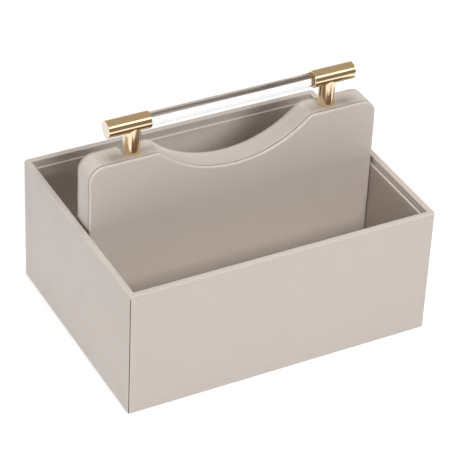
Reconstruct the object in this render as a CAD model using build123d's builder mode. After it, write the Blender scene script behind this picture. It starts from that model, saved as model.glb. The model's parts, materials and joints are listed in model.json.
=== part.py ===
"""Portable cosmetic organizer: a wrapped open tray with a scooped divider that carries a bar handle.

Millimetres, +Z up, +X along the tray's length, front face towards -Y.
The origin is on the table, under the middle of the tray.
"""

import os
from math import sqrt

from build123d import *

os.makedirs("parts", exist_ok=True)

# Tray, outside
TRAY_LENGTH = 245.0
TRAY_DEPTH = 185.0
TRAY_HEIGHT = 105.0

# Carcass boards, butt jointed, with eased edges under the wrap
WALL_BOARD = 3.0
BASE_BOARD = 3.0
BOARD_CORNER_RADIUS = 2.0
SEAM_CORNER_RADIUS = 0.8
BOARD_EDGE = 0.6

# Outer wrap: one strip of faux leather whose two ends meet at the front left corner
WRAP = 1.0
RIM_TURN_IN = 14.0
BASE_TURN_IN = 13.0
SEAM_GAP = 0.4
SEAM_LIP_RADIUS = 0.7
SEAM_BELOW_RIM = 2.5

# Underside: a filler card levels the turned edges, and a felt sheet covers both
BASE_COVER = 1.0
BASE_COVER_MARGIN = 4.0
BASE_COVER_RADIUS = 4.0

# Linings and floor pads: a card with a cover turned over its edges
LINING_CARD = 0.9
LINING_BELOW_RIM = 6.0
PAD_CARD = 1.4
COVER = 0.6
COVER_EDGE_RADIUS = 0.5
FIT = 0.2

# Divider: a board with an edge band, and a covered panel on each face
CORE = 16.5
DIVIDER_HEIGHT = 157.0
DIVIDER_CORNER_RADIUS = 12.0
SCOOP_WIDTH = 122.0
SCOOP_DEPTH = 25.0
SCOOP_LIP_RADIUS = 8.0
BAND = 0.8
PANEL_CARD = 1.9
PANEL_EDGE_RADIUS = 1.8
PANEL_INSET = 0.4

# Bar handle: two posts, two tube sleeves with end caps, and a clear rod
POST_PITCH = 157.0
POST_DIAMETER = 12.6
POST_HEIGHT = 17.0
SLEEVE_DIAMETER = 13.0
SLEEVE_INNER_REACH = 13.0
SLEEVE_OUTER_REACH = 19.0
SLEEVE_EDGE = 0.3
ROD_DIAMETER = 10.5
ROD_EDGE = 0.5
ROD_END_GAP = 2.0
CAP_FLANGE = 1.5
CAP_SPIGOT = 6.0
CAP_EDGE = 0.5
TUBE_FIT = 0.05

# Handle screws, driven up from pockets in the divider board
HANDLE_SCREW_DIAMETER = 4.0
HANDLE_SCREW_HEAD_DIAMETER = 8.0
HANDLE_SCREW_HEAD_HEIGHT = 2.6
HANDLE_SCREW_RAIL = 24.0
HANDLE_SCREW_IN_POST = 8.0
POCKET_WIDTH = 12.0
POCKET_HEIGHT = 16.0
SCREW_FIT = 0.05

# Spare length of a cut that has to leave the solid
OVERRUN = 5.0

# Heights, from the table up
wrap_bottom = BASE_COVER
board_bottom = wrap_bottom + WRAP
base_top = board_bottom + BASE_BOARD
board_top = TRAY_HEIGHT - WRAP
turn_in_bottom = TRAY_HEIGHT - RIM_TURN_IN
seam_top = TRAY_HEIGHT - SEAM_BELOW_RIM
lining_top = TRAY_HEIGHT - LINING_BELOW_RIM
handle_height = DIVIDER_HEIGHT + POST_HEIGHT + SLEEVE_DIAMETER / 2

# Plan sizes, from the outside in
board_length = TRAY_LENGTH - 2 * WRAP
board_depth = TRAY_DEPTH - 2 * WRAP
inner_length = board_length - 2 * WALL_BOARD
inner_depth = board_depth - 2 * WALL_BOARD
turned_length = inner_length - 2 * WRAP
turned_depth = inner_depth - 2 * WRAP
lining = LINING_CARD + COVER
room_length = turned_length - 2 * lining
room_depth = turned_depth - 2 * lining
panel = PANEL_CARD + COVER
divider_thickness = CORE + 2 * panel
divider_length = room_length - 2 * FIT

# Scoop of the divider, an arc through its two lips and its lowest point
scoop_radius = (SCOOP_WIDTH**2 / 4 + SCOOP_DEPTH**2) / (2 * SCOOP_DEPTH)
scoop_centre = DIVIDER_HEIGHT - SCOOP_DEPTH + scoop_radius

# Handle, measured out from the middle along X
post_places = [-POST_PITCH / 2, POST_PITCH / 2]
sleeve_start = POST_PITCH / 2 - SLEEVE_INNER_REACH
sleeve_end = POST_PITCH / 2 + SLEEVE_OUTER_REACH
sleeve_bore = ROD_DIAMETER + 2 * TUBE_FIT
rod_end = sleeve_end - CAP_SPIGOT - ROD_END_GAP
pocket_top = DIVIDER_HEIGHT - HANDLE_SCREW_RAIL
handle_screw_hole = HANDLE_SCREW_DIAMETER + 2 * SCREW_FIT

finished = {}


def tray_outline(length, depth, radius, seam_radius):
    """Plan outline of the tray: three wrapped corners, and the tighter one where the wrap ends meet."""
    towards_back_right = Axis((0, 0, 0), (1, 1, 0))
    with BuildSketch() as outline:
        Rectangle(length, depth)
        fillet(outline.vertices().sort_by(towards_back_right)[1:], radius)
        fillet(outline.vertices().sort_by(towards_back_right)[0], seam_radius)
    return outline.sketch


# Carcass: the four walls as one ring, then cut into its boards
with BuildPart() as wall_ring:
    with BuildSketch(Plane.XY.offset(board_bottom)):
        add(tray_outline(board_length, board_depth, BOARD_CORNER_RADIUS, SEAM_CORNER_RADIUS))
    extrude(amount=board_top - board_bottom)
    chamfer(wall_ring.faces().sort_by(Axis.Z)[0].edges(), BOARD_EDGE)
    chamfer(wall_ring.faces().sort_by(Axis.Z)[-1].edges(), BOARD_EDGE)
    with BuildSketch(Plane.XY.offset(board_bottom)):
        Rectangle(inner_length, inner_depth)
    extrude(amount=board_top - board_bottom, mode=Mode.SUBTRACT)
    chamfer(wall_ring.faces().sort_by(Axis.Z)[-1].inner_wires()[0].edges(), BOARD_EDGE)

long_wall = (board_length, WALL_BOARD)
short_wall = (WALL_BOARD, inner_depth)
long_wall_offset = (inner_depth + WALL_BOARD) / 2
short_wall_offset = (inner_length + WALL_BOARD) / 2
boards = {
    "front_board": ((0, -long_wall_offset), long_wall),
    "back_board": ((0, long_wall_offset), long_wall),
    "left_board": ((-short_wall_offset, 0), short_wall),
    "right_board": ((short_wall_offset, 0), short_wall),
}
for name, (place, size) in boards.items():
    with BuildPart() as board:
        add(wall_ring.part)
        with BuildSketch(Plane.XY.offset(board_bottom)):
            with Locations(place):
                Rectangle(*size)
        extrude(amount=board_top - board_bottom, mode=Mode.INTERSECT)
    finished[name] = board.part

with BuildPart() as base_board:
    with BuildSketch(Plane.XY.offset(board_bottom)):
        Rectangle(inner_length, inner_depth)
    extrude(amount=BASE_BOARD)
finished["base_board"] = base_board.part

# Outer wrap: the skin outside the boards, rolled over the rim, turned down inside and under the base
rolled_edge_radius = BOARD_EDGE + WRAP
with BuildPart() as outer_wrap:
    with BuildSketch(Plane.XY.offset(wrap_bottom)):
        add(tray_outline(TRAY_LENGTH, TRAY_DEPTH, BOARD_CORNER_RADIUS + WRAP, SEAM_CORNER_RADIUS + WRAP))
    extrude(amount=TRAY_HEIGHT - wrap_bottom)
    fillet(outer_wrap.faces().sort_by(Axis.Z)[0].edges(), rolled_edge_radius)
    fillet(outer_wrap.faces().sort_by(Axis.Z)[-1].edges(), rolled_edge_radius)
    with BuildSketch(Plane.XY.offset(turn_in_bottom)):
        Rectangle(turned_length, turned_depth)
    extrude(amount=RIM_TURN_IN, mode=Mode.SUBTRACT)
    fillet(outer_wrap.faces().sort_by(Axis.Z)[-1].inner_wires()[0].edges(), rolled_edge_radius)
    with BuildSketch(Plane.XY.offset(board_bottom)):
        Rectangle(inner_length, inner_depth)
    extrude(amount=turn_in_bottom - board_bottom, mode=Mode.SUBTRACT)
    with BuildSketch(Plane.XY.offset(wrap_bottom)):
        Rectangle(TRAY_LENGTH - 2 * BASE_TURN_IN, TRAY_DEPTH - 2 * BASE_TURN_IN)
    extrude(amount=WRAP, mode=Mode.SUBTRACT)
    add(wall_ring.part, mode=Mode.SUBTRACT)
    # The seam: a slit on the corner's diagonal, with the two folded ends rounded into it
    half_gap = SEAM_GAP / 2
    seam_apex = -(SEAM_CORNER_RADIUS + WRAP) * (sqrt(2) - 1)
    seam_plane = Plane((-TRAY_LENGTH / 2, -TRAY_DEPTH / 2, wrap_bottom), x_dir=(-1, -1, 0))
    with BuildSketch(seam_plane):
        with BuildLine():
            lip_centre = (seam_apex - SEAM_LIP_RADIUS, half_gap + SEAM_LIP_RADIUS)
            lip = CenterArc(lip_centre, SEAM_LIP_RADIUS, -90, 90)
            Line((-OVERRUN, half_gap), lip @ 0)
            mouth = Line(lip @ 1, (OVERRUN, half_gap + SEAM_LIP_RADIUS))
            Line(mouth @ 1, (OVERRUN, 0))
            mirror(about=Plane.XZ)
            Line((-OVERRUN, half_gap), (-OVERRUN, -half_gap))
        make_face()
    extrude(amount=seam_top - wrap_bottom, mode=Mode.SUBTRACT)
finished["outer_wrap"] = outer_wrap.part

# Underside
with BuildPart() as base_filler:
    with BuildSketch(Plane.XY.offset(wrap_bottom)):
        Rectangle(TRAY_LENGTH - 2 * (BASE_TURN_IN + FIT), TRAY_DEPTH - 2 * (BASE_TURN_IN + FIT))
    extrude(amount=WRAP)
finished["base_filler"] = base_filler.part

with BuildPart() as base_cover:
    with BuildSketch():
        RectangleRounded(
            TRAY_LENGTH - 2 * BASE_COVER_MARGIN, TRAY_DEPTH - 2 * BASE_COVER_MARGIN, BASE_COVER_RADIUS
        )
    extrude(amount=BASE_COVER)
finished["base_cover"] = base_cover.part

# Wall linings, each built on the inside of its wall with the plane's normal pointing into the tray
linings = {
    "front": ((0, -turned_depth / 2), (0, 1, 0), turned_length),
    "back": ((0, turned_depth / 2), (0, -1, 0), turned_length),
    "left": ((-turned_length / 2, 0), (1, 0, 0), room_depth),
    "right": ((turned_length / 2, 0), (-1, 0, 0), room_depth),
}
lining_height = lining_top - base_top
for wall, ((x, y), inward, span) in linings.items():
    wall_plane = Plane((x, y, base_top), x_dir=Vector(0, 0, 1).cross(Vector(inward)), z_dir=inward)
    with BuildPart() as lining_card:
        with BuildSketch(wall_plane):
            Rectangle(span - 2 * FIT, lining_height - COVER, align=(Align.CENTER, Align.MIN))
        extrude(amount=LINING_CARD)
    with BuildPart() as lining_cover:
        with BuildSketch(wall_plane):
            Rectangle(span - 2 * FIT, lining_height, align=(Align.CENTER, Align.MIN))
        extrude(amount=lining)
        shown_face = lining_cover.faces().sort_by(Axis((x, y, 0), inward))[-1]
        fillet(shown_face.edges().sort_by(Axis.Z)[-1], COVER_EDGE_RADIUS)
        add(lining_card.part, mode=Mode.SUBTRACT)
    finished[f"{wall}_lining_card"] = lining_card.part
    finished[f"{wall}_lining_cover"] = lining_cover.part

# Floor pads, one in each compartment
compartment_depth = (room_depth - divider_thickness) / 2
compartment_offset = (room_depth + divider_thickness) / 4
pad_length = room_length - 2 * FIT
pad_depth = compartment_depth - 2 * FIT
for name, side in {"front": -1, "rear": 1}.items():
    with BuildPart() as pad_card:
        with BuildSketch(Plane.XY.offset(base_top)):
            with Locations((0, side * compartment_offset)):
                Rectangle(pad_length - 2 * COVER, pad_depth - 2 * COVER)
        extrude(amount=PAD_CARD)
    with BuildPart() as pad_cover:
        with BuildSketch(Plane.XY.offset(base_top)):
            with Locations((0, side * compartment_offset)):
                Rectangle(pad_length, pad_depth)
        extrude(amount=PAD_CARD + COVER)
        fillet(pad_cover.faces().sort_by(Axis.Z)[-1].edges(), COVER_EDGE_RADIUS)
        add(pad_card.part, mode=Mode.SUBTRACT)
    finished[f"{name}_floor_card"] = pad_card.part
    finished[f"{name}_floor_cover"] = pad_cover.part


def divider_outline(inset):
    """Upright outline of the divider, drawn in by inset except at its foot."""
    half_length = divider_length / 2 - inset
    top = DIVIDER_HEIGHT - inset
    arc_radius = scoop_radius + inset
    lip_x = sqrt(arc_radius**2 - (scoop_centre - top) ** 2)
    with BuildSketch() as outline:
        with BuildLine():
            Polyline(
                (-lip_x, top),
                (-half_length, top),
                (-half_length, base_top),
                (half_length, base_top),
                (half_length, top),
                (lip_x, top),
            )
            ThreePointArc((-lip_x, top), (0, scoop_centre - arc_radius), (lip_x, top))
        make_face()
        lips = outline.vertices().group_by(Axis.Y)[-1].sort_by(Axis.X)[1:-1]
        fillet(lips, SCOOP_LIP_RADIUS - inset)
        shoulders = outline.vertices().group_by(Axis.Y)[-1].sort_by(Axis.X)
        fillet([shoulders[0], shoulders[-1]], DIVIDER_CORNER_RADIUS - inset)
    return outline.sketch


with BuildPart() as divider_core:
    with BuildSketch(Plane.XZ):
        add(divider_outline(BAND))
        # Pockets from which the handle screws are driven up into the posts
        with Locations([(x, pocket_top - POCKET_HEIGHT / 2) for x in post_places]):
            Rectangle(POCKET_WIDTH, POCKET_HEIGHT, mode=Mode.SUBTRACT)
    extrude(amount=CORE / 2, both=True)
    with BuildSketch(Plane.XY.offset(pocket_top)):
        with Locations([(x, 0) for x in post_places]):
            Circle(handle_screw_hole / 2)
    extrude(amount=HANDLE_SCREW_RAIL, mode=Mode.SUBTRACT)
finished["divider_core"] = divider_core.part

with BuildPart() as divider_edge_band:
    with BuildSketch(Plane.XZ):
        add(divider_outline(0))
    extrude(amount=CORE / 2, both=True)
    with BuildSketch(Plane.XZ):
        add(divider_outline(BAND))
    extrude(amount=CORE / 2, both=True, mode=Mode.SUBTRACT)
    with BuildSketch(Plane.XY.offset(DIVIDER_HEIGHT - BAND)):
        with Locations([(x, 0) for x in post_places]):
            Circle(handle_screw_hole / 2)
    extrude(amount=BAND, mode=Mode.SUBTRACT)
finished["divider_edge_band"] = divider_edge_band.part

for name, facing in {"front": 1, "rear": -1}.items():
    panel_plane = Plane.XZ.offset(facing * CORE / 2)
    outward_end = 0 if facing > 0 else -1
    with BuildPart() as panel_card:
        with BuildSketch(panel_plane):
            add(divider_outline(PANEL_INSET + COVER))
        extrude(amount=facing * PANEL_CARD)
        rim = panel_card.faces().sort_by(Axis.Y)[outward_end].edges().sort_by(Axis.Z)[1:]
        chamfer(rim, PANEL_EDGE_RADIUS - COVER)
    with BuildPart() as panel_cover:
        with BuildSketch(panel_plane):
            add(divider_outline(PANEL_INSET))
        extrude(amount=facing * panel)
        rim = panel_cover.faces().sort_by(Axis.Y)[outward_end].edges().sort_by(Axis.Z)[1:]
        fillet(rim, PANEL_EDGE_RADIUS)
        add(panel_card.part, mode=Mode.SUBTRACT)
    finished[f"divider_{name}_card"] = panel_card.part
    finished[f"divider_{name}_cover"] = panel_cover.part

# Bar handle: each side has a post with a saddle for its sleeve, the sleeve and its end cap
for side, outward in {"left": -1, "right": 1}.items():
    post_x = outward * POST_PITCH / 2
    with BuildPart() as post:
        with BuildSketch(Plane.XY.offset(DIVIDER_HEIGHT)):
            with Locations((post_x, 0)):
                Circle(POST_DIAMETER / 2)
                Circle(handle_screw_hole / 2, mode=Mode.SUBTRACT)
        extrude(amount=handle_height - DIVIDER_HEIGHT)
        with BuildSketch(Plane.YZ.offset(post_x)):
            with Locations((0, handle_height)):
                Circle(SLEEVE_DIAMETER / 2 + TUBE_FIT)
        extrude(amount=POST_DIAMETER, both=True, mode=Mode.SUBTRACT)
    finished[f"{side}_post"] = post.part

    with BuildPart() as sleeve:
        with BuildSketch(Plane.YZ.offset(outward * sleeve_start)):
            with Locations((0, handle_height)):
                Circle(SLEEVE_DIAMETER / 2)
        extrude(amount=outward * (sleeve_end - sleeve_start))
        inner_end = 0 if outward > 0 else -1
        chamfer(sleeve.faces().sort_by(Axis.X)[inner_end].edges(), SLEEVE_EDGE)
        with BuildSketch(Plane.YZ.offset(outward * sleeve_start)):
            with Locations((0, handle_height)):
                Circle(sleeve_bore / 2)
        extrude(amount=outward * (sleeve_end - sleeve_start), mode=Mode.SUBTRACT)
    finished[f"{side}_sleeve"] = sleeve.part

    with BuildPart() as end_cap:
        with BuildSketch(Plane.YZ.offset(outward * sleeve_end)):
            with Locations((0, handle_height)):
                Circle(SLEEVE_DIAMETER / 2)
        extrude(amount=outward * CAP_FLANGE)
        outer_end = -1 if outward > 0 else 0
        chamfer(end_cap.faces().sort_by(Axis.X)[outer_end].edges(), CAP_EDGE)
        with BuildSketch(Plane.YZ.offset(outward * sleeve_end)):
            with Locations((0, handle_height)):
                Circle(ROD_DIAMETER / 2)
        extrude(amount=-outward * CAP_SPIGOT)
    finished[f"{side}_end_cap"] = end_cap.part

with BuildPart() as clear_rod:
    with BuildSketch(Plane.YZ):
        with Locations((0, handle_height)):
            Circle(ROD_DIAMETER / 2)
    extrude(amount=rod_end, both=True)
    chamfer(clear_rod.edges().filter_by(GeomType.CIRCLE), ROD_EDGE)
finished["clear_rod"] = clear_rod.part

with BuildPart() as handle_screws:
    with BuildSketch(Plane.XY.offset(pocket_top)):
        with Locations([(x, 0) for x in post_places]):
            Circle(HANDLE_SCREW_HEAD_DIAMETER / 2)
    extrude(amount=-HANDLE_SCREW_HEAD_HEIGHT)
    with BuildSketch(Plane.XY.offset(pocket_top)):
        with Locations([(x, 0) for x in post_places]):
            Circle(HANDLE_SCREW_DIAMETER / 2)
    extrude(amount=HANDLE_SCREW_RAIL + HANDLE_SCREW_IN_POST)
finished["handle_screws"] = handle_screws.part

for name, piece in finished.items():
    piece.label = name
    export_step(piece, f"parts/{name}.step")
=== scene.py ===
"""Looks of a portable cosmetic organizer: a wrapped tray, a scooped divider and a bar handle.

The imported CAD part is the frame. Leather skins and the handle are modelled over it in the same
place and at the same size, the hidden boards keep their CAD meshes, and every surface gets a
procedural finish. All lengths are metres.
"""

import json
import logging
import math
from dataclasses import dataclass, field
from enum import Enum
from typing import Callable

import bmesh
import bpy
from bmesh.types import BMEdge, BMFace, BMVert
from bpy.types import Material, Node, NodeTree, Object
from mathutils import Matrix, Vector


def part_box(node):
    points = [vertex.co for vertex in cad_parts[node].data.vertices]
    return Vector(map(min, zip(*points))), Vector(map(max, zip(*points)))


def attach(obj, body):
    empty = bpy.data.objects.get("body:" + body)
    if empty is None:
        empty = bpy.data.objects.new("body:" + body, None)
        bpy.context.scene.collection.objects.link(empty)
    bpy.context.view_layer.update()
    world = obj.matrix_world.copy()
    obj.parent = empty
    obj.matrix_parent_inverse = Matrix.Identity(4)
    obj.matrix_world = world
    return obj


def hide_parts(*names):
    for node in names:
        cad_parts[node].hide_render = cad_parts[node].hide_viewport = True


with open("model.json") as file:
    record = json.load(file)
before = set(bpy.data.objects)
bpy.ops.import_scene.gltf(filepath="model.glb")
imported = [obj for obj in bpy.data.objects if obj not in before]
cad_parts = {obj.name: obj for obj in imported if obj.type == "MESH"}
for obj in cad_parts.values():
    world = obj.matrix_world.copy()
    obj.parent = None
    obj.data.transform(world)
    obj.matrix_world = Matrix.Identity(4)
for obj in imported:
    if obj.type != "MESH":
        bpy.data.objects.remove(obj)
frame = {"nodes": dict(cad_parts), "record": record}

LOG = logging.getLogger("organizer")
MM = 0.001
NEAR = 0.02 * MM  # places this close count as one
SQUARE = 0.999  # cosine above which two directions count as one
SMOOTH = math.radians(40)  # edges up to this angle are shaded smooth
X, Y, Z = range(3)
UP = Vector((0, 0, 1))
Colour = tuple[float, float, float]
Range = tuple[float, float]
WHITE: Colour = (1, 1, 1)
SWING: Range = (0.3, 0.7)  # where most of a noise lies


class Element(Enum):
    """What a selection is made of."""

    VERTEX = "VERT"
    EDGE = "EDGE"
    FACE = "FACE"


class Labelled(Enum):
    """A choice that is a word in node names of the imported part."""

    @property
    def label(self) -> str:
        """The word, as the names spell it."""
        return self.name.lower()


class Side(Labelled):
    """The left or right end of the handle, with its direction along X."""

    LEFT = -1
    RIGHT = 1


class Facing(Labelled):
    """The front or rear face of the divider, with its direction along Y."""

    FRONT = -1
    REAR = 1


class Slot(Enum):
    """Material slots of the record."""

    LEATHER = "taupe_leather"
    BOARD = "fibreboard"
    CARD = "grey_card"
    GOLD = "gold_metal"
    ACRYLIC = "clear_acrylic"
    STEEL = "zinc_steel"
    FELT = "base_felt"


class Workpiece:
    """A mesh that is shaped with operators in edit mode and then finished as one piece."""

    def __init__(self, name: str) -> None:
        """Take the primitive that was just added and open it for shaping.

        Args:
            name: Name of the finished piece.
        """
        self.obj: Object = bpy.context.object
        self.obj.name = name
        self.obj.data.name = name
        self.tip = Vector()
        bpy.ops.object.transform_apply(location=True, rotation=True, scale=True)
        bpy.ops.object.mode_set(mode="EDIT")

    @classmethod
    def block(cls, name: str, low: Vector, high: Vector) -> "Workpiece":
        """Start from a block between two corners.

        Args:
            name: Name of the finished piece.
            low: Lowest corner.
            high: Highest corner.

        Returns:
            The open workpiece.
        """
        bpy.ops.object.select_all(action="DESELECT")
        bpy.ops.mesh.primitive_cube_add(size=1, location=(low + high) / 2, scale=high - low)
        return cls(name)

    @classmethod
    def bar(
        cls, name: str, start: Vector, end: Vector, radius: float, sides: int = 96, ends: str = "NGON"
    ) -> "Workpiece":
        """Start from a round bar between two points.

        Args:
            name: Name of the finished piece.
            start: Middle of the first end.
            end: Middle of the other end.
            radius: Radius of the bar.
            sides: Flats round the bar.
            ends: How the ends are filled, in Blender's words.

        Returns:
            The open workpiece.
        """
        run = end - start
        bpy.ops.object.select_all(action="DESELECT")
        bpy.ops.mesh.primitive_cylinder_add(
            vertices=sides,
            radius=radius,
            depth=run.length,
            end_fill_type=ends,
            location=(start + end) / 2,
            rotation=run.to_track_quat("Z", "Y").to_euler(),
        )
        return cls(name)

    @classmethod
    def outline(cls, name: str, start: Vector) -> "Workpiece":
        """Start from one vertex, which line_to and arc_about draw on from.

        Args:
            name: Name of the finished piece.
            start: Place of the vertex.

        Returns:
            The open workpiece.
        """
        bpy.ops.object.select_all(action="DESELECT")
        bpy.ops.mesh.primitive_plane_add(size=MM, location=start)
        work = cls(name)
        bpy.ops.mesh.select_mode(type=Element.VERTEX.value)
        bpy.ops.mesh.select_all(action="SELECT")
        bpy.ops.mesh.merge(type="CENTER")
        work.tip = start.copy()
        return work

    def line_to(self, point: Vector) -> None:
        """Draw a straight run of an outline from its tip to a point."""
        self.extrude(point - self.tip)
        self.tip = point.copy()

    def arc_about(self, centre: Vector, angle: float, steps: int) -> None:
        """Draw an arc of an outline from its tip.

        Args:
            centre: Centre of the arc.
            angle: Turn about the Y axis, in radians.
            steps: Straight steps in the arc.
        """
        axis = Vector((0, 1, 0))
        bpy.ops.mesh.spin(steps=steps, angle=-angle, center=centre, axis=axis)
        self.tip = centre + Matrix.Rotation(angle, 3, axis) @ (self.tip - centre)

    def close(self) -> None:
        """Join the ends of an outline and fill it."""
        bpy.ops.mesh.select_all(action="SELECT")
        bpy.ops.mesh.remove_doubles(threshold=NEAR)
        bpy.ops.mesh.select_all(action="SELECT")
        bpy.ops.mesh.edge_face_add()

    def pick(self, kind: Element, test: Callable[..., bool]) -> None:
        """Select the elements that pass a test, and nothing else.

        Args:
            kind: What to select.
            test: Takes a vertex, edge or face and says whether it is wanted.
        """
        bpy.ops.mesh.select_mode(type=kind.value)
        bpy.ops.mesh.select_all(action="DESELECT")
        mesh = bmesh.from_edit_mesh(self.obj.data)
        mesh.normal_update()
        groups = {Element.VERTEX: mesh.verts, Element.EDGE: mesh.edges, Element.FACE: mesh.faces}
        for item in [item for item in groups[kind] if test(item)]:
            item.select_set(True)
        bmesh.update_edit_mesh(self.obj.data)

    def round_edges(self, width: float, segments: int, test: Callable[[BMEdge], bool]) -> None:
        """Round the edges that pass a test."""
        self.pick(Element.EDGE, test)
        bpy.ops.mesh.bevel(
            offset=width, offset_type="OFFSET", segments=segments, profile=0.5, affect="EDGES"
        )

    def extrude(self, offset: Vector) -> None:
        """Extrude the selection by an offset."""
        bpy.ops.mesh.extrude_region_move(TRANSFORM_OT_translate={"value": offset})

    def inset(self, thickness: float) -> None:
        """Inset the selected faces."""
        bpy.ops.mesh.inset(thickness=thickness, depth=0, use_even_offset=True)

    def cut(self, place: Vector, normal: Vector) -> None:
        """Cut the selected faces along a plane."""
        bpy.ops.mesh.bisect(plane_co=place, plane_no=normal)

    def trim_below(self, height: float) -> None:
        """Cut the piece off level at a height and close the cut."""
        bpy.ops.mesh.select_all(action="SELECT")
        bpy.ops.mesh.bisect(
            plane_co=(0, 0, height), plane_no=UP, use_fill=True, clear_inner=True, clear_outer=False
        )

    def remove(self, test: Callable[[BMFace], bool]) -> None:
        """Delete the faces that pass a test."""
        self.pick(Element.FACE, test)
        bpy.ops.mesh.delete(type="FACE")

    def turn_outward(self) -> None:
        """Turn every face outward."""
        bpy.ops.mesh.select_all(action="SELECT")
        bpy.ops.mesh.normals_make_consistent(inside=False)

    def thicken(self, thickness: float) -> None:
        """Give an open skin its thickness, inwards.

        Args:
            thickness: Thickness of the skin.
        """
        bpy.ops.object.mode_set(mode="OBJECT")
        solidify = self.obj.modifiers.new("thickness", "SOLIDIFY")
        solidify.thickness = thickness
        solidify.offset = -1
        solidify.use_even_offset = True
        bpy.ops.object.modifier_apply(modifier=solidify.name)
        bpy.ops.object.mode_set(mode="EDIT")

    def drill(self, start: Vector, end: Vector, radius: float, sides: int) -> None:
        """Cut a round hole or saddle through the piece.

        Args:
            start: Middle of the cutter's first end.
            end: Middle of its other end.
            radius: Radius of the cutter.
            sides: Flats round the cutter.
        """
        bpy.ops.object.mode_set(mode="OBJECT")
        cutter = Workpiece.bar("cutter", start, end, radius, sides)
        bpy.ops.object.mode_set(mode="OBJECT")
        bpy.ops.object.select_all(action="DESELECT")
        self.obj.select_set(True)
        bpy.context.view_layer.objects.active = self.obj
        hole = self.obj.modifiers.new("hole", "BOOLEAN")
        hole.operation = "DIFFERENCE"
        hole.solver = "EXACT"
        hole.object = cutter.obj
        bpy.ops.object.modifier_apply(modifier=hole.name)
        bpy.data.objects.remove(cutter.obj)
        bpy.ops.object.mode_set(mode="EDIT")

    def coat(self, material: Material) -> None:
        """Give the picked faces a further material, beside the main one in the first slot.

        Args:
            material: The further material.
        """
        materials = self.obj.data.materials
        if not materials:
            materials.append(None)
        materials.append(material)
        self.obj.active_material_index = len(materials) - 1
        bpy.ops.object.material_slot_assign()

    def finish(self, finishes: "Finishes", slot: Slot, *nodes: str) -> Object:
        """Close the workpiece, shade it and put it in the place of CAD nodes.

        Args:
            finishes: Materials by slot.
            slot: Material slot of the record.
            nodes: CAD nodes that the piece stands for.

        Returns:
            The finished piece.
        """
        bpy.ops.object.mode_set(mode="OBJECT")
        bpy.ops.object.shade_smooth_by_angle(angle=SMOOTH)
        even = self.obj.modifiers.new("even_shading", "WEIGHTED_NORMAL")
        even.keep_sharp = True
        bpy.ops.object.modifier_apply(modifier=even.name)
        if self.obj.data.materials:
            self.obj.data.materials[0] = finishes[slot]
        else:
            self.obj.data.materials.append(finishes[slot])
        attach(self.obj, "root")
        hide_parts(*nodes)
        bpy.ops.object.select_all(action="DESELECT")
        return self.obj


def along(edge: BMEdge, axis: int) -> bool:
    """Say whether an edge runs along an axis."""
    run = edge.verts[1].co - edge.verts[0].co
    return abs(run[axis]) > SQUARE * run.length


def level(edge: BMEdge, axis: int, place: float) -> bool:
    """Say whether both ends of an edge lie at a place on an axis."""
    return all(abs(vertex.co[axis] - place) < NEAR for vertex in edge.verts)


def round_x(edge: BMEdge, centre: Vector, radius: float) -> bool:
    """Say whether both ends of an edge lie at a radius about a line along X."""
    return all(abs((vertex.co - centre).yz.length - radius) < NEAR for vertex in edge.verts)


def middle(item: BMEdge | BMFace) -> Vector:
    """Give the mean of an edge's or a face's corners."""
    return sum((vertex.co for vertex in item.verts), Vector()) / len(item.verts)


def scaled(colour: Colour, factors: Colour) -> Colour:
    """Scale the channels of a colour."""
    return tuple(min(1.0, channel * factor) for channel, factor in zip(colour, factors))


class Graph:
    """A node tree in the making."""

    def __init__(self, tree: NodeTree) -> None:
        """Take a tree and empty it."""
        self.tree = tree
        tree.nodes.clear()

    def add(self, kind: str, **inputs: object) -> Node:
        """Add a node and set its inputs.

        Args:
            kind: Blender's name of the node type.
            inputs: Values by input name, with underscores for spaces.

        Returns:
            The new node.
        """
        node = self.tree.nodes.new(kind)
        for name, value in inputs.items():
            node.inputs[name.replace("_", " ")].default_value = value
        return node

    def link(self, source: Node, output: str | int, target: Node, socket: str | int) -> None:
        """Link an output to an input."""
        self.tree.links.new(source.outputs[output], target.inputs[socket])

    def joined(self, kind: str, first: Node, second: Node, sockets: tuple[int, int] = (0, 1)) -> Node:
        """Add a node that joins the first outputs of two others.

        Args:
            kind: Blender's name of the node type.
            first: Node for the first socket.
            second: Node for the second socket.
            sockets: The two input sockets.

        Returns:
            The new node.
        """
        node = self.add(kind)
        for source, socket in zip((first, second), sockets):
            self.link(source, 0, node, socket)
        return node


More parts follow.
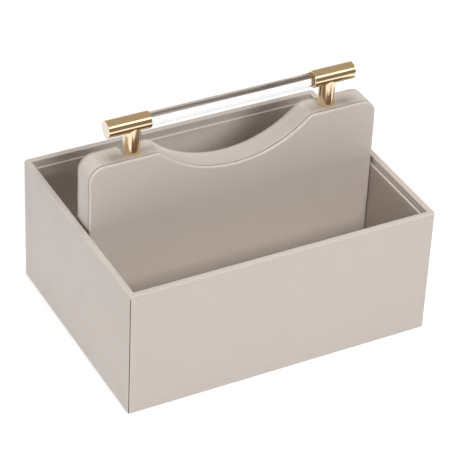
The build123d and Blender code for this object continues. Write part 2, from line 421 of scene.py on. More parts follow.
class Shader(Graph):
    """A node material in the making, with a principled surface."""

    def __init__(self, name: str) -> None:
        """Start a material.

        Args:
            name: Name of the material.
        """
        self.material = bpy.data.materials.new(name)
        self.material.use_nodes = True
        super().__init__(self.material.node_tree)
        self.surface = self.add("ShaderNodeBsdfPrincipled")
        self.link(self.surface, "BSDF", self.add("ShaderNodeOutputMaterial"), "Surface")
        self.place = self.add("ShaderNodeTexCoord")

    def noise(
        self, size: float, detail: float = 2, rough: float = 0.5, stretch: tuple[int, int, int] = (1, 1, 1)
    ) -> Node:
        """Add noise whose features have a size in metres.

        Args:
            size: Size of the features.
            detail: Octaves of detail.
            rough: Strength of the finer octaves.
            stretch: How much longer the features are along each axis.

        Returns:
            The noise node.
        """
        spread = self.add("ShaderNodeMapping", Scale=tuple(1 / s for s in stretch))
        self.link(self.place, "Object", spread, "Vector")
        node = self.add("ShaderNodeTexNoise", Scale=1 / size, Detail=detail, Roughness=rough)
        self.link(spread, "Vector", node, "Vector")
        return node

    def cells(self, size: float) -> Node:
        """Add a pattern of cells that gives the distance to their edges.

        Args:
            size: Size of a cell in metres.

        Returns:
            The cell node.
        """
        node = self.add("ShaderNodeTexVoronoi", Scale=1 / size)
        node.feature = "DISTANCE_TO_EDGE"
        self.link(self.place, "Object", node, "Vector")
        return node

    def span(self, source: Node, output: str, range_in: Range, range_out: Range) -> Node:
        """Map an output from one range to another.

        Args:
            source: Node to read.
            output: Its output.
            range_in: Values that become the ends of the new range.
            range_out: The new range.

        Returns:
            The mapping node.
        """
        (low, high), (first, last) = range_in, range_out
        node = self.add("ShaderNodeMapRange", From_Min=low, From_Max=high, To_Min=first, To_Max=last)
        self.link(source, output, node, "Value")
        return node

    def tint(self, source: Node, output: str, places: Range, *colours: Colour) -> Node:
        """Turn an output into a colour by a ramp.

        Args:
            source: Node to read.
            output: Its output.
            places: Values of the output at the ramp's two ends.
            colours: Colours of the two ends.

        Returns:
            The ramp node.
        """
        node = self.add("ShaderNodeValToRGB")
        for element, place, colour in zip(node.color_ramp.elements, places, colours):
            element.position = place
            element.color = (*colour, 1)
        self.link(source, output, node, "Fac")
        return node

    def mixed(self, how: str, share: float, first: Node, second: Node) -> None:
        """Give the surface a mix of two colours.

        Args:
            how: Blender's name of the blend type.
            share: Share of the second colour.
            first: Node with the first colour.
            second: Node with the second colour.
        """
        node = self.add("ShaderNodeMix")
        node.data_type = "RGBA"
        node.blend_type = how
        factor, first_colour, second_colour, result = 0, 6, 7, 2
        node.inputs[factor].default_value = share
        self.link(first, "Color", node, first_colour)
        self.link(second, "Color", node, second_colour)
        self.link(node, result, self.surface, "Base Color")

    def relief(
        self, source: Node, output: str, depth: float, strength: float, under: Node | None = None
    ) -> Node:
        """Raise the surface by an output.

        Args:
            source: Node with the height, from 0 to 1.
            output: Its output.
            depth: Height of the relief in metres.
            strength: Share of it that shows.
            under: A coarser relief below this one.

        Returns:
            The bump node, which the surface follows until another is added.
        """
        node = self.add("ShaderNodeBump", Strength=strength, Distance=depth)
        self.link(source, output, node, "Height")
        if under is not None:
            self.link(under, "Normal", node, "Normal")
        self.link(node, "Normal", self.surface, "Normal")
        return node

    def gloss(self, source: Node, roughness: Range, swing: Range = SWING) -> None:
        """Let a noise node vary the surface's roughness, over a swing of the noise."""
        self.link(self.span(source, "Fac", swing, roughness), "Result", self.surface, "Roughness")

    def set(self, **values: object) -> None:
        """Set constant values on the surface."""
        for name, value in values.items():
            self.surface.inputs[name.replace("_", " ")].default_value = value


@dataclass(frozen=True)
class Leather:
    """Satin faux leather with a fine pebbled grain, its creases darkened as painted shade."""

    colour: Colour
    cloud: float = 45 * MM
    cloud_dark: Colour = (0.992, 0.990, 0.986)
    cloud_light: Colour = (1.006, 1.008, 1.010)
    pebble: float = 0.75 * MM
    pebble_height: float = 0.05 * MM
    pebble_strength: float = 0.55
    # painted shade: the colour that the grain's creases are darkened to, how far from the cell edges and how
    # strongly
    crease: Colour = (0.90, 0.885, 0.87)
    crease_width: float = 0.16
    crease_share: float = 0.8
    dome_width: float = 0.3
    swell: float = 9 * MM
    swell_height: float = 0.25 * MM
    swell_strength: float = 0.12
    rub: float = 14 * MM
    roughness: Range = (0.38, 0.52)
    specular: float = 0.45

    def material(self) -> Material:
        """Build the finish.

        Returns:
            The leather material.
        """
        shader = Shader(Slot.LEATHER.value)
        shade = shader.noise(self.cloud, detail=4, rough=0.6)
        dark, light = scaled(self.colour, self.cloud_dark), scaled(self.colour, self.cloud_light)
        base = shader.tint(shade, "Fac", SWING, dark, light)
        cells = shader.cells(self.pebble)
        # painted shade: darker colour near the cell edges, where the grain's creases are
        painted_crease_shades = shader.tint(cells, "Distance", (0, self.crease_width), self.crease, WHITE)
        shader.mixed("MULTIPLY", self.crease_share, base, painted_crease_shades)
        dome = shader.span(cells, "Distance", (0, self.dome_width), (0, 1))
        soft = shader.relief(shader.noise(self.swell), "Fac", self.swell_height, self.swell_strength)
        shader.relief(dome, "Result", self.pebble_height, self.pebble_strength, soft)
        shader.gloss(shader.noise(self.rub, detail=3, rough=0.65), self.roughness)
        shader.set(Specular_IOR_Level=self.specular)
        return shader.material


@dataclass(frozen=True)
class Gold:
    """Polished gold plating with faint turning marks round the bar."""

    colour: Colour
    warm: float = 12 * MM
    warm_light: Colour = (1.01, 1.03, 1.07)
    wipe: float = 1.2 * MM
    wipe_swing: Range = (0.3, 0.75)
    roughness: Range = (0.07, 0.15)
    mark: float = 0.12 * MM
    mark_height: float = 0.004 * MM
    mark_strength: float = 0.25

    def material(self) -> Material:
        """Build the finish.

        Returns:
            The plating material.
        """
        shader = Shader(Slot.GOLD.value)
        warm = shader.noise(self.warm, detail=3)
        tone = shader.tint(warm, "Fac", SWING, self.colour, scaled(self.colour, self.warm_light))
        shader.link(tone, "Color", shader.surface, "Base Color")
        wipe = shader.noise(self.wipe, detail=4, rough=0.7, stretch=(6, 1, 1))
        shader.gloss(wipe, self.roughness, self.wipe_swing)
        turning = shader.noise(self.mark, detail=1, stretch=(1, 14, 14))
        shader.relief(turning, "Fac", self.mark_height, self.mark_strength)
        shader.set(Metallic=1.0)
        return shader.material


@dataclass(frozen=True)
class Acrylic:
    """Clear polished acrylic with the faintest draw lines."""

    colour: Colour
    index: float = 1.49
    draw: float = 0.5 * MM
    draw_height: float = 0.003 * MM
    draw_strength: float = 0.10
    haze: float = 8 * MM
    haze_swing: Range = (0.35, 0.7)
    roughness: Range = (0.0, 0.03)

    def material(self) -> Material:
        """Build the finish.

        Returns:
            The acrylic material.
        """
        shader = Shader(Slot.ACRYLIC.value)
        lines = shader.noise(self.draw, stretch=(60, 1, 1))
        shader.relief(lines, "Fac", self.draw_height, self.draw_strength)
        shader.gloss(shader.noise(self.haze, detail=3), self.roughness, self.haze_swing)
        shader.set(Base_Color=(*self.colour, 1), Transmission_Weight=1.0, IOR=self.index)
        return shader.material


@dataclass(frozen=True)
class Fibre:
    """A pressed or felted sheet: matted fibres in two tones."""

    name: str
    dark: Colour
    light: Colour
    fibre: float
    height: float
    roughness: float = 0.92
    tone_swing: Range = (0.34, 0.66)
    cross_share: float = 0.5
    strength: float = 0.6
    specular: float = 0.15

    def material(self) -> Material:
        """Build the finish.

        Returns:
            The fibre material.
        """
        shader = Shader(self.name)
        tones, nap = [], None
        for stretch in ((3, 1, 1), (1, 3, 2)):
            matted = shader.noise(self.fibre, detail=5, rough=0.7, stretch=stretch)
            tones.append(shader.tint(matted, "Fac", self.tone_swing, self.dark, self.light))
            nap = shader.relief(matted, "Fac", self.height, self.strength, nap)
        shader.mixed("MIX", self.cross_share, *tones)
        shader.set(Roughness=self.roughness, Specular_IOR_Level=self.specular)
        return shader.material


@dataclass(frozen=True)
class Zinc:
    """Bright zinc plating on steel, slightly clouded."""

    colour: Colour
    cloud: float = 1.5 * MM
    cloud_dark: Colour = (0.85, 0.85, 0.85)
    roughness: Range = (0.22, 0.38)

    def material(self) -> Material:
        """Build the finish.

        Returns:
            The plating material.
        """
        shader = Shader(Slot.STEEL.value)
        cloud = shader.noise(self.cloud, detail=4)
        tone = shader.tint(cloud, "Fac", SWING, scaled(self.colour, self.cloud_dark), self.colour)
        shader.link(tone, "Color", shader.surface, "Base Color")
        shader.gloss(cloud, self.roughness)
        shader.set(Metallic=1.0)
        return shader.material


class Finishes:
    """One material for each slot of the record, and two for parts of a piece: a near-black cut edge that
    paints the shade in the slits, and a gold-tinted bonding film that paints the sleeves' reflection on the
    rod's ends.
    """

    def __init__(self) -> None:
        """Build the materials."""
        board = Fibre(
            Slot.BOARD.value,
            dark=(0.36, 0.24, 0.14),
            light=(0.52, 0.37, 0.24),
            fibre=0.6 * MM,
            height=0.06 * MM,
        )
        card = Fibre(
            Slot.CARD.value,
            dark=(0.29, 0.28, 0.265),
            light=(0.42, 0.41, 0.39),
            fibre=0.4 * MM,
            height=0.03 * MM,
        )
        felt = Fibre(
            Slot.FELT.value,
            dark=(0.23, 0.20, 0.175),
            light=(0.35, 0.305, 0.27),
            fibre=0.5 * MM,
            height=0.15 * MM,
            roughness=1.0,
        )
        # bonding film on the rod's ends in the sleeves; its gold tint is a painted reflection of the gold
        # bore seen through the rod
        bond = Fibre(
            "rod_bond",
            dark=(0.50, 0.36, 0.20),
            light=(0.66, 0.50, 0.31),
            fibre=0.6 * MM,
            height=0.01 * MM,
            roughness=0.5,
        )
        # leather's cut edge, made near-black as painted shade for the deep seam slits
        cut_edge_shade = Fibre(
            "leather_raw_edge",
            dark=(0.09, 0.072, 0.064),
            light=(0.15, 0.125, 0.112),
            fibre=0.3 * MM,
            height=0.02 * MM,
        )
        self.by_slot: dict[Slot, Material] = {
            Slot.LEATHER: Leather(colour=(0.625, 0.56, 0.51)).material(),
            Slot.BOARD: board.material(),
            Slot.CARD: card.material(),
            Slot.GOLD: Gold(colour=(0.91, 0.72, 0.48)).material(),
            Slot.ACRYLIC: Acrylic(colour=(0.985, 0.99, 0.99)).material(),
            Slot.STEEL: Zinc(colour=(0.62, 0.63, 0.65)).material(),
            Slot.FELT: felt.material(),
        }
        self.bond = bond.material()
        self.raw_edge = cut_edge_shade.material()

    def __getitem__(self, slot: Slot) -> Material:
        """Give the material of a slot."""
        return self.by_slot[slot]


@dataclass
class OuterWrap:
    """The one-piece leather wrap of the tray, rolled over the rim, with its closing seam at one corner."""

    finishes: Finishes
    thickness: float = 1.0 * MM
    corner_radius: float = 3.0 * MM
    seam_corner_radius: float = 2.2 * MM
    rim_width: float = 5.0 * MM
    rim_roll: float = 1.1 * MM
    rim_inner_roll: float = 0.7 * MM
    turn_in: float = 14.0 * MM
    turn_under: float = 13.0 * MM
    seam_below_rim: float = 2.2 * MM
    seam_depth: float = 0.78 * MM
    seam_lean: float = 0.3
    strip_roll_share: float = 0.9
    lip_step_share: float = 0.1
    lip_radius: float = 0.18 * MM
    seam_strips: int = 12

    def build(self) -> Object:
        """Model the wrap.

        Returns:
            The finished wrap.
        """
        self.low, self.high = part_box("outer_wrap")
        self.work = Workpiece.block("outer_wrap_skin", self.low, self.high)
        self.round_outside()
        self.turn_over_rim()
        self.open_underside()
        self.work.thicken(self.thickness)
        self.sink_seam()
        return self.work.finish(self.finishes, Slot.LEATHER, "outer_wrap")

    def at_seam(self, edge: BMEdge) -> bool:
        """Say whether an edge starts on the seam's corner edge of the unshaped block."""
        return (edge.verts[0].co.xy - self.low.xy).length < NEAR

    def round_outside(self) -> None:
        """Round the upright corners, then the rim and the foot all the way round."""
        work = self.work
        work.round_edges(self.corner_radius, 6, lambda e: along(e, Z) and not self.at_seam(e))
        work.round_edges(self.seam_corner_radius, self.seam_strips, lambda e: along(e, Z) and self.at_seam(e))
        work.round_edges(self.rim_roll, 5, lambda e: level(e, Z, self.high.z) or level(e, Z, self.low.z))

    def cut_window(self, margin: float, height: float, up: int) -> tuple[float, float]:
        """Cut a rectangle into a level face of the wrap.

        Args:
            margin: Distance of the rectangle from the outside.
            height: Height of the face.
            up: Direction that the face looks, 1 up or -1 down.

        Returns:
            Half the length and half the depth of the rectangle.
        """
        half = (self.high.x - margin, self.high.y - margin)
        for axis in (X, Y):
            normal = Vector((axis == X, axis == Y, 0))
            for sign in (-1, 1):
                self.work.pick(
                    Element.FACE, lambda f: f.normal.z * up > SQUARE and abs(middle(f).z - height) < NEAR
                )
                self.work.cut(normal * sign * half[axis], normal)
        return half

    def central(self, height: float) -> Callable[[BMFace], bool]:
        """Make a test for the level face about the middle at a height."""
        return lambda f: abs(middle(f).z - height) < NEAR and middle(f).xy.length < NEAR

    def turn_over_rim(self) -> None:
        """Open the top, mitre the rim at its corners and turn the wrap down inside."""
        work, top = self.work, self.high.z
        half = self.cut_window(self.rim_width, top, 1)

        def in_window(point: Vector) -> bool:
            """Say whether a point is in or on the window."""
            return abs(point.x) < half[0] + NEAR and abs(point.y) < half[1] + NEAR

        for sx in (-1, 1):
            for sy in (-1, 1):
                corner = Vector((sx * half[0], sy * half[1], top))

                def off_mitre(vertex: BMVert) -> float:
                    """Distance of a rim vertex in this corner from the mitre line."""
                    away = vertex.co - corner
                    return abs(away.x * sx - away.y * sy)

                def in_corner(vertex: BMVert) -> bool:
                    """Say whether a vertex is on the rim's outer line in this corner."""
                    away = vertex.co - corner
                    return away.x * sx > NEAR and away.y * sy > NEAR and abs(away.z) < NEAR

                mesh = bmesh.from_edit_mesh(work.obj.data)
                outer = min((v for v in mesh.verts if in_corner(v)), key=off_mitre).co.copy()
                ends = (corner, outer)
                work.pick(Element.VERTEX, lambda v: any((v.co - end).length < NEAR for end in ends))
                bpy.ops.mesh.vert_connect()

        def spare(edge: BMEdge) -> bool:
            """Say whether an edge is left from cutting the window and lies outside it."""
            on_cut = any(level(edge, axis, sign * half[axis]) for axis in (X, Y) for sign in (-1, 1))
            return on_cut and not in_window(middle(edge)) and abs(middle(edge).z - top) < NEAR

        def inner_line(edge: BMEdge) -> bool:
            """Say whether an edge is where the rim turns down inside."""
            return level(edge, Z, top) and all(in_window(vertex.co) for vertex in edge.verts)

        work.pick(Element.EDGE, spare)
        bpy.ops.mesh.dissolve_edges(use_verts=True)
        work.pick(Element.FACE, self.central(top))
        work.extrude(UP * -self.turn_in)
        work.remove(self.central(top - self.turn_in))
        work.round_edges(self.rim_inner_roll, 5, inner_line)

    def open_underside(self) -> None:
        """Leave only a turned-under border below."""
        self.cut_window(self.turn_under, self.low.z, -1)
        self.work.remove(self.central(self.low.z))

    def from_seam(self, point: Vector) -> Vector:
        """Give a point's level offset, outward, from the centre of the seam's corner."""
        return self.low.xy + Vector((1, 1)) * self.seam_corner_radius - point.xy

    def on_corner(self, point: Vector) -> bool:
        """Say whether a point is outside that centre on both axes."""
        return min(self.from_seam(point)) > 0

    def off_diagonal(self, point: Vector) -> float:
        """Angle of a point about the seam corner's centre, from the diagonal, in radians."""
        away = self.from_seam(point)
        return abs(math.atan2(away.y, away.x) - math.pi / 4) if away.length > NEAR else math.pi

    def looks_out(self, face: BMFace) -> float:
        """Give how far a face looks out of the seam's corner, negative for one that looks in."""
        return -face.normal.x - face.normal.y

    def sink_seam(self) -> None:
        """Sink the slit where the wrap's two ends meet, round its lips and give the faces deep in it the
        near-black cut-edge material, which paints the shade in the slit.
        """
        work = self.work
        step = math.pi / 2 / self.seam_strips
        top = self.high.z - self.seam_below_rim

        def strip(face: BMFace) -> bool:
            """Say whether a face is one of the two strips beside the diagonal."""
            place = middle(face)
            return (
                self.on_corner(place)
                and self.off_diagonal(place) < step
                and self.looks_out(face) > self.seam_lean
                and place.z < self.high.z - self.strip_roll_share * self.rim_roll
            )

        def lip(edge: BMEdge) -> bool:
            """Say whether an edge is an upright lip of the slit."""
            place = middle(edge)
            return (
                along(edge, Z)
                and self.on_corner(place)
                and abs(self.from_seam(place).length - self.seam_corner_radius) < NEAR
                and abs(self.off_diagonal(place) - step) < self.lip_step_share * step
                and place.z < top
            )

        def sunk(face: BMFace) -> bool:
            """Say whether a face lies in the slit, below its lips."""
            place = middle(face)
            return (
                self.on_corner(place)
                and place.z < top + NEAR
                and self.from_seam(place).length < self.seam_corner_radius - self.lip_radius
                and self.looks_out(face) > -self.seam_lean
            )

        work.pick(Element.FACE, strip)
        work.cut(UP * top, UP)
        work.pick(Element.FACE, lambda f: strip(f) and middle(f).z < top)
        work.extrude(Vector((1, 1, 0)) * self.seam_depth / math.sqrt(2))
        work.round_edges(self.lip_radius, 3, lip)
        work.pick(Element.FACE, sunk)
        # painted shade: the faces deep in the slit get the near-black cut-edge material
        work.coat(self.finishes.raw_edge)


@dataclass
class Linings:
    """Leather linings of the four walls, each turned over the top of its card."""

    finishes: Finishes
    skin: float = 0.5 * MM
    front_round: float = 0.8 * MM
    back_round: float = 0.15 * MM
    tuck: float = 0.55 * MM

    def build(self) -> list[Object]:
        """Model the four linings."""
        inward = {"front": (Y, 1), "back": (Y, -1), "left": (X, 1), "right": (X, -1)}
        return [self.lining(wall, axis, sign) for wall, (axis, sign) in inward.items()]

    def lining(self, wall: str, axis: int, sign: int) -> Object:
        """Model one lining.

        Args:
            wall: Name of its wall.
            axis: Axis that the lining faces along.
            sign: Direction that it faces on that axis.

        Returns:
            The finished lining.
        """
        node = f"{wall}_lining_cover"
        low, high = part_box(node)
        shown, hidden = (high[axis], low[axis]) if sign > 0 else (low[axis], high[axis])
        work = Workpiece.block(f"{wall}_lining_skin", low, high)
        work.remove(lambda f: f.normal[axis] * sign < SQUARE and f.normal.z < SQUARE)
        work.pick(Element.EDGE, lambda e: level(e, Z, high.z) and level(e, axis, hidden))
        work.extrude(UP * -self.tuck)
        work.round_edges(self.front_round, 5, lambda e: level(e, Z, high.z) and level(e, axis, shown))
        work.round_edges(self.back_round, 3, lambda e: level(e, Z, high.z) and level(e, axis, hidden))
        work.thicken(self.skin)
        return work.finish(self.finishes, Slot.LEATHER, node)


@dataclass
class FloorPads:
    """Leather-covered floor pads of the two compartments."""

    finishes: Finishes
    skin: float = 0.55 * MM
    edge_round: float = 0.8 * MM

    def build(self) -> list[Object]:
        """Model the two pads."""
        return [self.pad(facing) for facing in Facing]

    def pad(self, facing: Facing) -> Object:
        """Model the pad of one compartment.

        Args:
            facing: Side of the divider that it lies on.

        Returns:
            The finished pad.
        """
        node = f"{facing.label}_floor_cover"
        low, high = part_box(node)
        work = Workpiece.block(f"{facing.label}_floor_skin", low, high)
        work.remove(lambda f: f.normal.z < -SQUARE)
        work.round_edges(self.edge_round, 4, lambda e: along(e, Z) or level(e, Z, high.z))
        work.thicken(self.skin)
        return work.finish(self.finishes, Slot.LEATHER, node)


@dataclass
class Divider:
    """Leather of the scooped divider: a band round its edge and a cover on each face."""

    finishes: Finishes
    corner_radius: float = 12.0 * MM
    scoop_width: float = 122.0 * MM
    scoop_depth: float = 25.0 * MM
    lip_radius: float = 8.0 * MM
    band: float = 0.8 * MM
    band_round: float = 0.15 * MM
    cover_inset: float = 0.05 * MM
    cover_round: float = 1.7 * MM
    cover_back_round: float = 0.1 * MM
    slit: float = 0.6 * MM
    cover_skin: float = 0.55 * MM
    spare_foot: float = 4.0 * MM
    corner_steps: int = 14
    lip_steps: int = 8
    scoop_steps: int = 64

    def __post_init__(self) -> None:
        """Read the divider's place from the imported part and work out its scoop."""
        low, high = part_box("divider_edge_band")
        self.half_length, self.foot, self.top = high.x, low.z, high.z
        self.band_front, self.band_back = low.y, high.y
        self.scoop_radius = ((self.scoop_width / 2) ** 2 + self.scoop_depth**2) / (2 * self.scoop_depth)
        self.scoop_centre = self.top - self.scoop_depth + self.scoop_radius

    def build(self) -> list[Object]:
        """Model the band and both covers."""
        return [self.edge_band()] + [self.cover(facing) for facing in Facing]

    def outline(self, name: str, inset: float, y: float) -> Workpiece:
        """Draw the divider's outline, drawn in by an inset, and fill it.

        Args:
            name: Name of the piece.
            inset: How far the outline is drawn in.
            y: Place of the outline on the Y axis.

        Returns:
            The workpiece, a face that reaches a little below the foot.
        """
        half, top = self.half_length - inset, self.top - inset
        corner, lip, scoop = self.corner_radius - inset, self.lip_radius - inset, self.scoop_radius + inset
        lip_z = top - lip
        lip_x = math.sqrt((scoop + lip) ** 2 - (self.scoop_centre - lip_z) ** 2)
        lip_turn = math.atan2(lip_x, self.scoop_centre - lip_z)
        bottom = self.foot - self.spare_foot
        work = Workpiece.outline(name, Vector((-half, y, bottom)))
        work.line_to(Vector((-half, y, top - corner)))
        work.arc_about(Vector((-half + corner, y, top - corner)), math.pi / 2, self.corner_steps)
        work.line_to(Vector((-lip_x, y, top)))
        work.arc_about(Vector((-lip_x, y, lip_z)), lip_turn, self.lip_steps)
        work.arc_about(Vector((0, y, self.scoop_centre)), -2 * lip_turn, self.scoop_steps)
        work.arc_about(Vector((lip_x, y, lip_z)), lip_turn, self.lip_steps)
        work.line_to(Vector((half - corner, y, top)))
        work.arc_about(Vector((half - corner, y, top - corner)), math.pi / 2, self.corner_steps)
        work.line_to(Vector((half, y, bottom)))
        work.close()
        return work

    def edge_band(self) -> Object:
        """Model the flat band round the divider's edge; its edges in the slits get the near-black cut-edge
        material, which paints the shade in the slits.

        Returns:
            The finished band.
        """
        work = self.outline("divider_band_skin", 0, self.band_front)
        work.extrude(Vector((0, self.band_back - self.band_front, 0)))
        work.turn_outward()
        for y in (self.band_front, self.band_back):
            work.round_edges(self.band_round, 3, lambda e: level(e, Y, y))
        work.pick(Element.FACE, lambda f: abs(f.normal.y) > SQUARE)
        work.inset(self.band - self.band_round)
        bpy.ops.mesh.delete(type="FACE")
        work.pick(Element.EDGE, lambda e: e.is_boundary)
        bpy.ops.mesh.bridge_edge_loops()
        work.turn_outward()
        work.trim_below(self.foot)
        work.pick(Element.FACE, lambda f: abs(f.normal.y) > SQUARE)
        # painted shade: the band's edges in the slits get the near-black cut-edge material
        work.coat(self.finishes.raw_edge)
        return work.finish(self.finishes, Slot.LEATHER, "divider_edge_band")

    def cover(self, facing: Facing) -> Object:
        """Model the covered panel on one face.

        Args:
            facing: The face of the divider.

        Returns:
            The finished cover.
        """
        node = f"divider_{facing.label}_cover"
        low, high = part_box(node)
        outer, inner = (low.y, high.y) if facing is Facing.FRONT else (high.y, low.y)
        back = inner + facing.value * self.slit
        work = self.outline(f"divider_{facing.label}_skin", self.cover_inset, back)
        work.extrude(Vector((0, outer - back, 0)))
        work.turn_outward()
        work.round_edges(self.cover_round, 7, lambda e: level(e, Y, outer))
        work.round_edges(self.cover_back_round, 4, lambda e: level(e, Y, back))
        work.remove(lambda f: f.normal.y * facing.value < -SQUARE)
        work.thicken(self.cover_skin)
        work.trim_below(self.foot)
        return work.finish(self.finishes, Slot.LEATHER, node)


@dataclass
class BarHandle:
    """The bar handle: gold posts and sleeves with end caps, and a clear rod between them."""

    finishes: Finishes
    sleeve_round: float = 0.35 * MM
    mouth_round: float = 0.2 * MM
    cap_round: float = 0.6 * MM
    post_round: float = 0.35 * MM
    tube_fit: float = 0.05 * MM
    rod_round: float = 0.5 * MM
    bond_back: float = 0.3 * MM
    flange: float = 1.5 * MM
    saddle_sides: int = 192
    rod_sides: int = 128

    def build(self) -> list[Object]:
        """Model the handle.

        Returns:
            The finished pieces, the rod last.
        """
        pieces = []
        for side in Side:
            pieces += [self.post(side), self.sleeve(side), self.end_cap(side)]
        return pieces + [self.rod()]

    def axis(self, node: str) -> tuple[Vector, Vector, float]:
        """Give the two ends and the radius of a bar along X.

        Args:
            node: CAD node of the bar.

        Returns:
            Left end, right end and radius.
        """
        low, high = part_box(node)
        centre = (low + high) / 2
        left, right = (Vector((x, centre.y, centre.z)) for x in (low.x, high.x))
        return left, right, (high.z - low.z) / 2

    def post(self, side: Side) -> Object:
        """Model one post, with the saddle that its sleeve lies in.

        Args:
            side: End of the handle.

        Returns:
            The finished post.
        """
        node = f"{side.label}_post"
        low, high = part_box(node)
        start, end, radius = self.axis(f"{side.label}_sleeve")
        centre = (low + high) / 2
        foot, head = (Vector((centre.x, centre.y, z)) for z in (low.z, start.z))
        work = Workpiece.bar(f"{node}_turned", foot, head, (high.x - low.x) / 2)
        work.drill(start, end, radius + self.tube_fit, self.saddle_sides)
        work.round_edges(self.post_round, 3, lambda e: level(e, Z, low.z))
        return work.finish(self.finishes, Slot.GOLD, node)

    def sleeve(self, side: Side) -> Object:
        """Model one sleeve, bored through for the rod.

        Args:
            side: End of the handle.

        Returns:
            The finished sleeve.
        """
        node = f"{side.label}_sleeve"
        start, end, radius = self.axis(node)
        mouth = start.x if side is Side.RIGHT else end.x
        bore = self.axis("clear_rod")[2] + self.tube_fit
        work = Workpiece.bar(f"{node}_tube", start, end, radius, ends="NOTHING")
        work.thicken(radius - bore)
        work.round_edges(self.sleeve_round, 4, lambda e: level(e, X, mouth) and round_x(e, start, radius))
        work.round_edges(self.mouth_round, 2, lambda e: level(e, X, mouth) and round_x(e, start, bore))
        return work.finish(self.finishes, Slot.GOLD, node)

    def end_cap(self, side: Side) -> Object:
        """Model one end cap, a rounded flange with a spigot in the sleeve.

        Args:
            side: End of the handle.

        Returns:
            The finished cap.
        """
        node = f"{side.label}_end_cap"
        left, right, radius = self.axis(node)
        outer, inner = (left, right) if side is Side.LEFT else (right, left)
        shoulder = outer - Vector((side.value * self.flange, 0, 0))
        work = Workpiece.bar(f"{node}_turned", shoulder, outer, radius)
        work.pick(Element.FACE, lambda f: f.normal.x * side.value < -SQUARE)
        work.inset(radius - self.axis("clear_rod")[2])
        work.extrude(inner - shoulder)
        work.round_edges(self.cap_round, 5, lambda e: level(e, X, outer.x))
        return work.finish(self.finishes, Slot.GOLD, node)

    def rod(self) -> Object:
        """Model the clear rod, with the bonding film where it sits in the sleeves, tinted gold as a painted
        reflection of the sleeves' bore seen through the rod.

        Returns:
            The finished rod.
        """
        start, end, radius = self.axis("clear_rod")
        work = Workpiece.bar("clear_rod_polished", start, end, radius, self.rod_sides)
        work.round_edges(self.rod_round, 3, lambda e: level(e, X, start.x) or level(e, X, end.x))
        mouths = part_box("left_sleeve")[1].x - self.bond_back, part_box("right_sleeve")[0].x + self.bond_back
        for mouth in mouths:
            bpy.ops.mesh.select_all(action="SELECT")
            work.cut(Vector((mouth, 0, 0)), Vector((1, 0, 0)))
        work.pick(Element.FACE, lambda f: not mouths[0] < middle(f).x < mouths[1])
        # painted reflection: the rod's ends inside the sleeves get the gold-tinted bonding film
        work.coat(self.finishes.bond)
        return work.finish(self.finishes, Slot.ACRYLIC, "clear_rod")


@dataclass
class Underside:
    """The felt sheet under the tray."""

    finishes: Finishes
    corner_radius: float = 4.0 * MM
    edge_round: float = 0.3 * MM

    def build(self) -> Object:
        """Model the felt.

        Returns:
            The finished sheet.
        """
        low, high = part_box("base_cover")
        work = Workpiece.block("base_felt_sheet", low, high)
        work.round_edges(self.corner_radius, 8, lambda e: along(e, Z))
        work.round_edges(self.edge_round, 2, lambda e: level(e, Z, low.z) or level(e, Z, high.z))
        return work.finish(self.finishes, Slot.FELT, "base_cover")


@dataclass
class Carcass:
    """Boards, cards and screws under the leather, which keep their CAD meshes."""

    finishes: Finishes

    def dress(self) -> list[str]:
        """Give each carried-over CAD node the finish of its slot.

        Returns:
            Names of the dressed nodes.
        """
        dressed = []
        for part in frame["record"]["subparts"]:
            node = frame["nodes"][part["node"]]
            if not node.hide_render:
                node.data.materials.clear()
                node.data.materials.append(self.finishes[Slot(part["material_slot"])])
                dressed.append(part["node"])
        return dressed


def bearing(azimuth: float, elevation: float) -> Vector:
    """Give a direction from the tray.

    Args:
        azimuth: Direction in degrees, 0 at the front and negative to the left.
        elevation: Height above the horizon in degrees.

    Returns:
        The unit vector.
    """
    az, el = math.radians(azimuth), math.radians(elevation)
    return Vector((math.sin(az) * math.cos(el), -math.cos(az) * math.cos(el), math.sin(el)))


@dataclass(frozen=True)
class Lamp:
    """A soft square lamp that isn't mirrored. At level 1 a face turned to it shows its own colour."""

    name: str
    azimuth: float
    elevation: float
    size: float
    level: float
    distance: float = 2.2

    def hang(self, target: Vector) -> None:
        """Hang the lamp.

        Args:
            target: Point that it looks at.
        """
        place = target + bearing(self.azimuth, self.elevation) * self.distance
        data = bpy.data.lights.new(self.name, "AREA")
        data.shape = "SQUARE"
        data.size = self.size
        data.energy = self.level * (math.pi * self.distance) ** 2
        lamp = bpy.data.objects.new(self.name, data)
        bpy.context.scene.collection.objects.link(lamp)
        lamp.location = place
        lamp.rotation_euler = (target - place).to_track_quat("-Z", "Y").to_euler()
        lamp.visible_glossy = False
        lamp.visible_camera = False


@dataclass(frozen=True)
class Card:
    """A studio card that is seen only in reflections."""

    name: str
    centre: Vector
    normal: Vector
    size: tuple[float, float]
    colour: Colour
    strength: float

    def hang(self) -> None:
        """Hang the card."""
        bpy.ops.object.select_all(action="DESELECT")
        bpy.ops.mesh.primitive_plane_add(size=1)
        card = bpy.context.object
        card.name = self.name
        card.scale = (*self.size, 1)
        card.rotation_euler = self.normal.to_track_quat("Z", "Y").to_euler()
        card.location = self.centre
        material = bpy.data.materials.new(self.name)
        material.use_nodes = True
        graph = Graph(material.node_tree)
        glow = graph.add("ShaderNodeEmission", Color=(*self.colour, 1), Strength=self.strength)
        graph.link(glow, 0, graph.add("ShaderNodeOutputMaterial"), "Surface")
        card.data.materials.append(material)
        card.visible_camera = False
        card.visible_diffuse = False
        card.visible_transmission = False
        card.visible_shadow = False


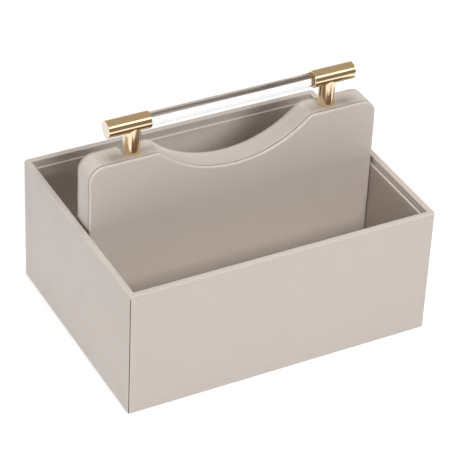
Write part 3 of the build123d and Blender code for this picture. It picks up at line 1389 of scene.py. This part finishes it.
@dataclass
class Studio:
    """White floor and surround, soft light, reflection cards and the camera."""

    sky: float = 0.08
    sky_colour: Colour = (1, 0.985, 0.965)
    floor_size: float = 8
    floor_drop: float = 0.1 * MM
    floor_colour: float = 0.25
    floor_glow: float = 0.64
    floor_pale: float = 0.35
    floor_white: float = 0.79
    shade_place: Vector = field(default_factory=lambda: Vector((0.0105, -0.049, 0.12)))
    target: Vector = field(default_factory=lambda: Vector((-0.00051, 0, 0.07028)))
    distance: float = 1.6893
    azimuth: float = -28.837
    elevation: float = 35.406
    roll: float = 2.689
    lens: float = 182.49
    sensor: float = 36
    clip: float = 0.05

    def build(self) -> None:
        """Set up the whole studio."""
        self.surround()
        self.floor()
        self.lamps()
        self.cards()
        self.camera()

    def show(self, graph: Graph, light: Node, shown: Node, kind: str) -> None:
        """Light with one shader, and show another to camera, glossy and transmission rays.

        Args:
            graph: Node tree that both are in.
            light: Shader for the other rays.
            shown: Shader that is seen.
            kind: Blender's name of the output node.
        """
        path = graph.add("ShaderNodeLightPath")
        seen = path.outputs["Is Camera Ray"]
        for ray in ("Is Glossy Ray", "Is Transmission Ray"):
            either = graph.add("ShaderNodeMath")
            either.operation = "MAXIMUM"
            graph.tree.links.new(seen, either.inputs[0])
            graph.link(path, ray, either, 1)
            seen = either.outputs[0]
        mix = graph.joined("ShaderNodeMixShader", light, shown, (1, 2))
        graph.tree.links.new(seen, mix.inputs[0])
        graph.link(mix, 0, graph.add(kind), "Surface")

    def surround(self) -> None:
        """Make the world: white where it is seen, softer as light."""
        world = bpy.data.worlds.new("studio")
        bpy.context.scene.world = world
        world.use_nodes = True
        graph = Graph(world.node_tree)
        light = graph.add("ShaderNodeBackground", Color=(*self.sky_colour, 1), Strength=self.sky)
        white = graph.add("ShaderNodeBackground", Color=(*WHITE, 1), Strength=1)
        self.show(graph, light, white, "ShaderNodeOutputWorld")

    def floor(self) -> None:
        """Lay a white table that keeps a soft shadow and throws light back up."""
        bpy.ops.object.select_all(action="DESELECT")
        bpy.ops.mesh.primitive_plane_add(size=self.floor_size, location=UP * -self.floor_drop)
        floor = bpy.context.object
        floor.name = "floor"
        material = bpy.data.materials.new("white_table")
        material.use_nodes = True
        graph = Graph(material.node_tree)
        looks = []
        for grey, strength in ((self.floor_colour, self.floor_glow), (self.floor_pale, self.floor_white)):
            matt = graph.add("ShaderNodeBsdfDiffuse", Color=(grey, grey, grey, 1))
            glow = graph.add("ShaderNodeEmission", Strength=strength)
            looks.append(graph.joined("ShaderNodeAddShader", matt, glow))
        self.show(graph, *looks, "ShaderNodeOutputMaterial")
        floor.data.materials.append(material)

    def lamps(self) -> None:
        """Hang a soft key in front, a low light at the left and a high one above."""
        Lamp("key", azimuth=2, elevation=39, size=0.45, level=0.605).hang(self.target)
        Lamp("side", azimuth=-85, elevation=1.5, size=0.22, level=0.31).hang(self.target)
        Lamp("back", azimuth=180, elevation=83, size=1.2, level=0.64).hang(self.target)

    def cards(self) -> None:
        """Hang the cards that the metal and the rod mirror."""
        Card(
            "overhead_card",
            centre=Vector((0.9, 2.5, 1.18)),
            normal=-UP,
            size=(6.4, 6.4),
            colour=(1, 0.90, 0.74),
            strength=0.43,
        ).hang()
        Card(
            "front_strip",
            centre=Vector((0.42, -0.737, 0.856)),
            normal=Vector((0, 0.737, -0.676)),
            size=(2.4, 0.35),
            colour=(1, 0.98, 0.95),
            strength=1.9,
        ).hang()
        Card(
            "front_dark",
            centre=Vector((0.15, -0.30, 0.224)),
            normal=Vector((0, 1, 0)),
            size=(1.3, 0.244),
            colour=(1, 0.88, 0.74),
            strength=0.23,
        ).hang()
        Card(
            "end_glow",
            centre=Vector((-0.22, 0.22, 0.002)),
            normal=UP,
            size=(0.2, 0.16),
            colour=(0.78, 0.86, 1),
            strength=1.18,
        ).hang()
        for side in Side:
            low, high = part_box(f"{side.label}_post")
            Card(
                f"{side.label}_shade",
                centre=self.shade_place + Vector(((low.x + high.x) / 2, 0, 0)),
                normal=UP,
                size=(0.086, 0.068),
                colour=(1, 0.65, 0.44),
                strength=0.155,
            ).hang()

    def camera(self) -> None:
        """Place the camera at the photograph's viewpoint."""
        back = bearing(self.azimuth, self.elevation)
        data = bpy.data.cameras.new("camera")
        data.lens = self.lens
        data.sensor_width = self.sensor
        data.sensor_fit = "HORIZONTAL"
        data.clip_start = self.clip
        camera = bpy.data.objects.new("camera", data)
        bpy.context.scene.collection.objects.link(camera)
        turn = back.to_track_quat("Z", "Y").to_matrix() @ Matrix.Rotation(math.radians(self.roll), 3, "Z")
        camera.matrix_world = Matrix.Translation(self.target + back * self.distance) @ turn.to_4x4()
        bpy.context.scene.camera = camera


def main() -> None:
    """Build the organizer's looks and the studio."""
    logging.basicConfig(level=logging.INFO, format="%(name)s: %(message)s")
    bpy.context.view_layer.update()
    bpy.context.scene.view_settings.view_transform = "Standard"
    finishes = Finishes()
    pieces: list[Object] = [OuterWrap(finishes).build()]
    pieces += Linings(finishes).build()
    pieces += FloorPads(finishes).build()
    pieces += Divider(finishes).build()
    pieces += BarHandle(finishes).build()
    pieces.append(Underside(finishes).build())
    for piece in pieces:
        LOG.info("%s: %d faces", piece.name, len(piece.data.polygons))
    for name in Carcass(finishes).dress():
        LOG.info("%s: CAD mesh dressed", name)
    Studio().build()


if __name__ == "__main__":
    main()
